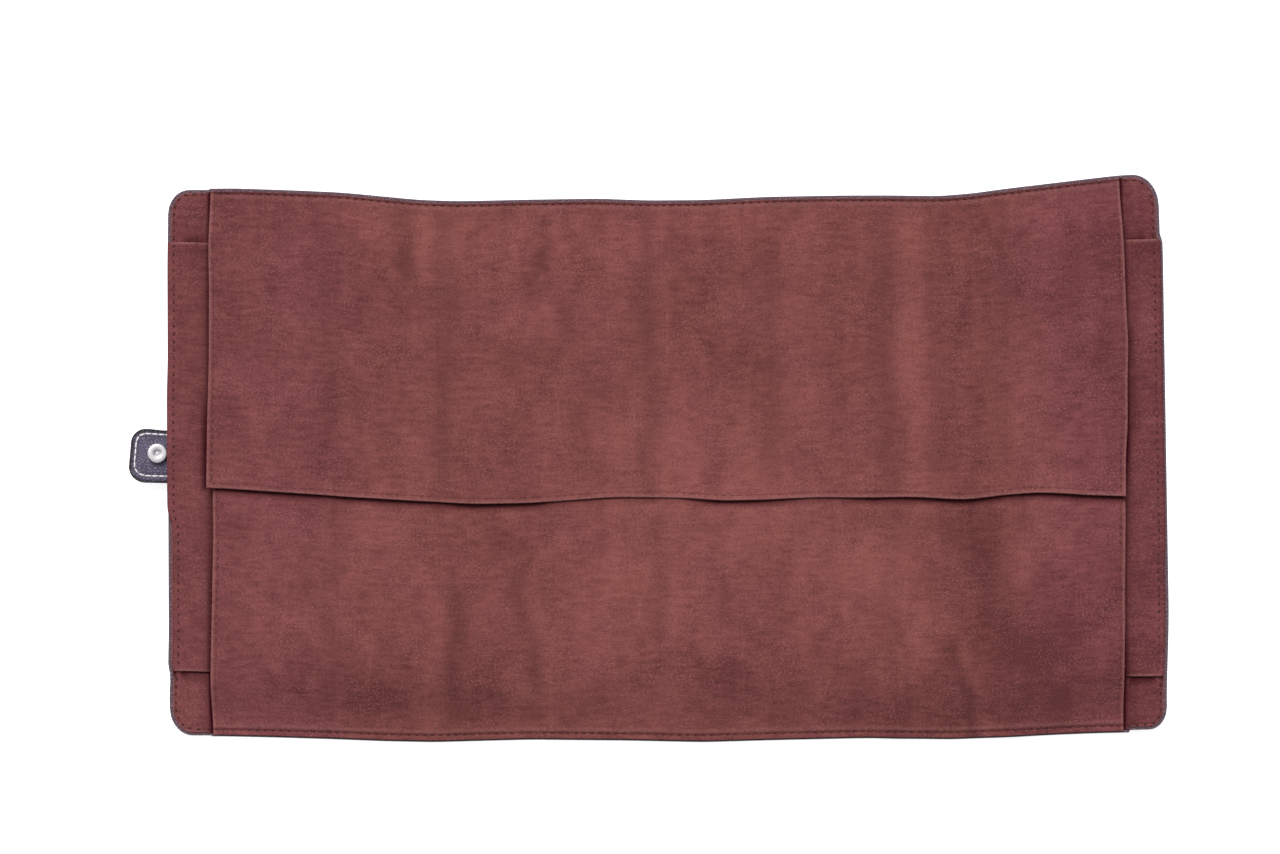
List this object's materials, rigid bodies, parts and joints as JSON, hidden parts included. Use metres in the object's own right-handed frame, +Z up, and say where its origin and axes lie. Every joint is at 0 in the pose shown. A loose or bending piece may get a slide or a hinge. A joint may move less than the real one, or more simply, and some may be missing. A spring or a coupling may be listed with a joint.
{
  "type": "watch roll",
  "caption": "Watch roll laid open: grained leather cover, suede lining, slack pocket strip and fold-over suede flaps; it rolls up along the pocket seams and shuts with a snap strap.",
  "frame": {"origin": "on the table, under the middle of the opened roll with its strap", "axes": "+X along the roll away from the strap, +Y across it towards the deep flap's seam, +Z up from the table through the lining"},
  "size_m": [0.5234, 0.274, 0.0134],
  "materials": {
    "cover_leather": "fine pebble grain, satin",
    "strap_leather": "pebble grain, satin, light saddle stitching",
    "suede": "brushed burgundy suede, matt nap with darker creases",
    "snap_metal": "polished nickel"
  },
  "bodies": {
    "panel_left": {"cover_left": "cover_leather", "lining_left": "suede", "strip_end_left": "suede", "strap_root_back": "strap_leather", "strap_root_face": "strap_leather"},
    "panel_1": {"cover_1": "cover_leather", "lining_1": "suede", "pocket_1": "suede"},
    "deep_flap_1": {"deep_flap_1": "suede"},
    "shallow_flap_1": {"shallow_flap_1": "suede"},
    "panel_2": {"cover_2": "cover_leather", "lining_2": "suede", "pocket_2": "suede"},
    "deep_flap_2": {"deep_flap_2": "suede"},
    "shallow_flap_2": {"shallow_flap_2": "suede"},
    "panel_3": {"cover_3": "cover_leather", "lining_3": "suede", "pocket_3": "suede"},
    "deep_flap_3": {"deep_flap_3": "suede"},
    "shallow_flap_3": {"shallow_flap_3": "suede"},
    "panel_4": {"cover_4": "cover_leather", "lining_4": "suede", "pocket_4": "suede"},
    "deep_flap_4": {"deep_flap_4": "suede"},
    "shallow_flap_4": {"shallow_flap_4": "suede"},
    "panel_5": {"cover_5": "cover_leather", "lining_5": "suede", "pocket_5": "suede", "snap_stud": "snap_metal", "snap_rivet": "snap_metal"},
    "deep_flap_5": {"deep_flap_5": "suede"},
    "shallow_flap_5": {"shallow_flap_5": "suede"},
    "panel_6": {"cover_6": "cover_leather", "lining_6": "suede", "pocket_6": "suede"},
    "deep_flap_6": {"deep_flap_6": "suede"},
    "shallow_flap_6": {"shallow_flap_6": "suede"},
    "panel_7": {"cover_7": "cover_leather", "lining_7": "suede", "pocket_7": "suede"},
    "deep_flap_7": {"deep_flap_7": "suede"},
    "shallow_flap_7": {"shallow_flap_7": "suede"},
    "panel_8": {"cover_8": "cover_leather", "lining_8": "suede", "pocket_8": "suede"},
    "deep_flap_8": {"deep_flap_8": "suede"},
    "shallow_flap_8": {"shallow_flap_8": "suede"},
    "panel_right": {"cover_right": "cover_leather", "lining_right": "suede", "strip_end_right": "suede"},
    "strap": {"strap_back": "strap_leather", "strap_face": "strap_leather", "snap_cap": "snap_metal", "snap_socket": "snap_metal"}
  },
  "joints": [
    {"name": "fold_3_4", "type": "hinge", "parent": "panel_3", "child": "panel_4", "pos_m": [-0.04722, 0, 0.01329], "axis": [0, -1, 0], "range_deg": [0, 69.7]},
    {"name": "fold_4_5", "type": "hinge", "parent": "panel_4", "child": "panel_5", "pos_m": [0.00978, 0, 0.01329], "axis": [0, -1, 0], "range_deg": [0, 77.81]},
    {"name": "fold_5_6", "type": "hinge", "parent": "panel_5", "child": "panel_6", "pos_m": [0.06678, 0, 0.01329], "axis": [0, -1, 0], "range_deg": [0, 86.51]},
    {"name": "fold_6_7", "type": "hinge", "parent": "panel_6", "child": "panel_7", "pos_m": [0.12378, 0, 0.01329], "axis": [0, -1, 0], "range_deg": [0, 96.31]},
    {"name": "fold_7_8", "type": "hinge", "parent": "panel_7", "child": "panel_8", "pos_m": [0.18078, 0, 0.01329], "axis": [0, -1, 0], "range_deg": [0, 120.01]},
    {"name": "fold_8_right", "type": "hinge", "parent": "panel_8", "child": "panel_right", "pos_m": [0.23778, 0, 0.01329], "axis": [0, -1, 0], "range_deg": [0, 106.01]},
    {"name": "fold_2_3", "type": "hinge", "parent": "panel_3", "child": "panel_2", "pos_m": [-0.10422, 0, 0.01329], "axis": [0, 1, 0], "range_deg": [0, 69.81]},
    {"name": "fold_1_2", "type": "hinge", "parent": "panel_2", "child": "panel_1", "pos_m": [-0.16122, 0, 0.01329], "axis": [0, 1, 0], "range_deg": [0, 58.71]},
    {"name": "fold_left_1", "type": "hinge", "parent": "panel_1", "child": "panel_left", "pos_m": [-0.21822, 0, 0.01329], "axis": [0, 1, 0], "range_deg": [0, 71.01]},
    {"name": "deep_flap_hinge_3", "type": "hinge", "parent": "panel_3", "child": "deep_flap_3", "pos_m": [-0.07572, 0.135, 0.00809], "axis": [1, 0, 0], "range_deg": [-180, 0]},
    {"name": "deep_flap_hinge_1", "type": "hinge", "parent": "panel_1", "child": "deep_flap_1", "pos_m": [-0.18972, 0.135, 0.00809], "axis": [1, 0, 0], "range_deg": [-180, 0]},
    {"name": "deep_flap_hinge_2", "type": "hinge", "parent": "panel_2", "child": "deep_flap_2", "pos_m": [-0.13272, 0.135, 0.00809], "axis": [1, 0, 0], "range_deg": [-180, 0]},
    {"name": "deep_flap_hinge_4", "type": "hinge", "parent": "panel_4", "child": "deep_flap_4", "pos_m": [-0.01872, 0.135, 0.00809], "axis": [1, 0, 0], "range_deg": [-180, 0]},
    {"name": "deep_flap_hinge_5", "type": "hinge", "parent": "panel_5", "child": "deep_flap_5", "pos_m": [0.03828, 0.135, 0.00809], "axis": [1, 0, 0], "range_deg": [-180, 0]},
    {"name": "deep_flap_hinge_6", "type": "hinge", "parent": "panel_6", "child": "deep_flap_6", "pos_m": [0.09528, 0.135, 0.00809], "axis": [1, 0, 0], "range_deg": [-180, 0]},
    {"name": "deep_flap_hinge_7", "type": "hinge", "parent": "panel_7", "child": "deep_flap_7", "pos_m": [0.15228, 0.135, 0.00809], "axis": [1, 0, 0], "range_deg": [-180, 0]},
    {"name": "deep_flap_hinge_8", "type": "hinge", "parent": "panel_8", "child": "deep_flap_8", "pos_m": [0.20928, 0.135, 0.00809], "axis": [1, 0, 0], "range_deg": [-180, 0]},
    {"name": "shallow_flap_hinge_3", "type": "hinge", "parent": "panel_3", "child": "shallow_flap_3", "pos_m": [-0.07572, -0.135, 0.00809], "axis": [-1, 0, 0], "range_deg": [-180, 0]},
    {"name": "shallow_flap_hinge_1", "type": "hinge", "parent": "panel_1", "child": "shallow_flap_1", "pos_m": [-0.18972, -0.135, 0.00809], "axis": [-1, 0, 0], "range_deg": [-180, 0]},
    {"name": "shallow_flap_hinge_2", "type": "hinge", "parent": "panel_2", "child": "shallow_flap_2", "pos_m": [-0.13272, -0.135, 0.00809], "axis": [-1, 0, 0], "range_deg": [-180, 0]},
    {"name": "shallow_flap_hinge_4", "type": "hinge", "parent": "panel_4", "child": "shallow_flap_4", "pos_m": [-0.01872, -0.135, 0.00809], "axis": [-1, 0, 0], "range_deg": [-180, 0]},
    {"name": "shallow_flap_hinge_5", "type": "hinge", "parent": "panel_5", "child": "shallow_flap_5", "pos_m": [0.03828, -0.135, 0.00809], "axis": [-1, 0, 0], "range_deg": [-180, 0]},
    {"name": "shallow_flap_hinge_6", "type": "hinge", "parent": "panel_6", "child": "shallow_flap_6", "pos_m": [0.09528, -0.135, 0.00809], "axis": [-1, 0, 0], "range_deg": [-180, 0]},
    {"name": "shallow_flap_hinge_7", "type": "hinge", "parent": "panel_7", "child": "shallow_flap_7", "pos_m": [0.15228, -0.135, 0.00809], "axis": [-1, 0, 0], "range_deg": [-180, 0]},
    {"name": "shallow_flap_hinge_8", "type": "hinge", "parent": "panel_8", "child": "shallow_flap_8", "pos_m": [0.20928, -0.135, 0.00809], "axis": [-1, 0, 0], "range_deg": [-180, 0]},
    {"name": "strap_bend", "type": "hinge", "parent": "panel_left", "child": "strap", "pos_m": [-0.24265, 0.006, 0.00528], "axis": [0, 1, 0], "range_deg": [-25, 0]}
  ],
  "couplings": [
    {"joint": "fold_4_5", "follows": "fold_3_4", "ratio": 1.1162},
    {"joint": "fold_5_6", "follows": "fold_3_4", "ratio": 1.241},
    {"joint": "fold_6_7", "follows": "fold_3_4", "ratio": 1.3816},
    {"joint": "fold_7_8", "follows": "fold_3_4", "ratio": 1.7217},
    {"joint": "fold_8_right", "follows": "fold_3_4", "ratio": 1.5208},
    {"joint": "fold_2_3", "follows": "fold_3_4", "ratio": 1.0014},
    {"joint": "fold_1_2", "follows": "fold_3_4", "ratio": 0.84218},
    {"joint": "fold_left_1", "follows": "fold_3_4", "ratio": 1.0187},
    {"joint": "deep_flap_hinge_1", "follows": "deep_flap_hinge_3", "ratio": 1},
    {"joint": "deep_flap_hinge_2", "follows": "deep_flap_hinge_3", "ratio": 1},
    {"joint": "deep_flap_hinge_4", "follows": "deep_flap_hinge_3", "ratio": 1},
    {"joint": "deep_flap_hinge_5", "follows": "deep_flap_hinge_3", "ratio": 1},
    {"joint": "deep_flap_hinge_6", "follows": "deep_flap_hinge_3", "ratio": 1},
    {"joint": "deep_flap_hinge_7", "follows": "deep_flap_hinge_3", "ratio": 1},
    {"joint": "deep_flap_hinge_8", "follows": "deep_flap_hinge_3", "ratio": 1},
    {"joint": "shallow_flap_hinge_1", "follows": "shallow_flap_hinge_3", "ratio": 1},
    {"joint": "shallow_flap_hinge_2", "follows": "shallow_flap_hinge_3", "ratio": 1},
    {"joint": "shallow_flap_hinge_4", "follows": "shallow_flap_hinge_3", "ratio": 1},
    {"joint": "shallow_flap_hinge_5", "follows": "shallow_flap_hinge_3", "ratio": 1},
    {"joint": "shallow_flap_hinge_6", "follows": "shallow_flap_hinge_3", "ratio": 1},
    {"joint": "shallow_flap_hinge_7", "follows": "shallow_flap_hinge_3", "ratio": 1},
    {"joint": "shallow_flap_hinge_8", "follows": "shallow_flap_hinge_3", "ratio": 1}
  ]
}
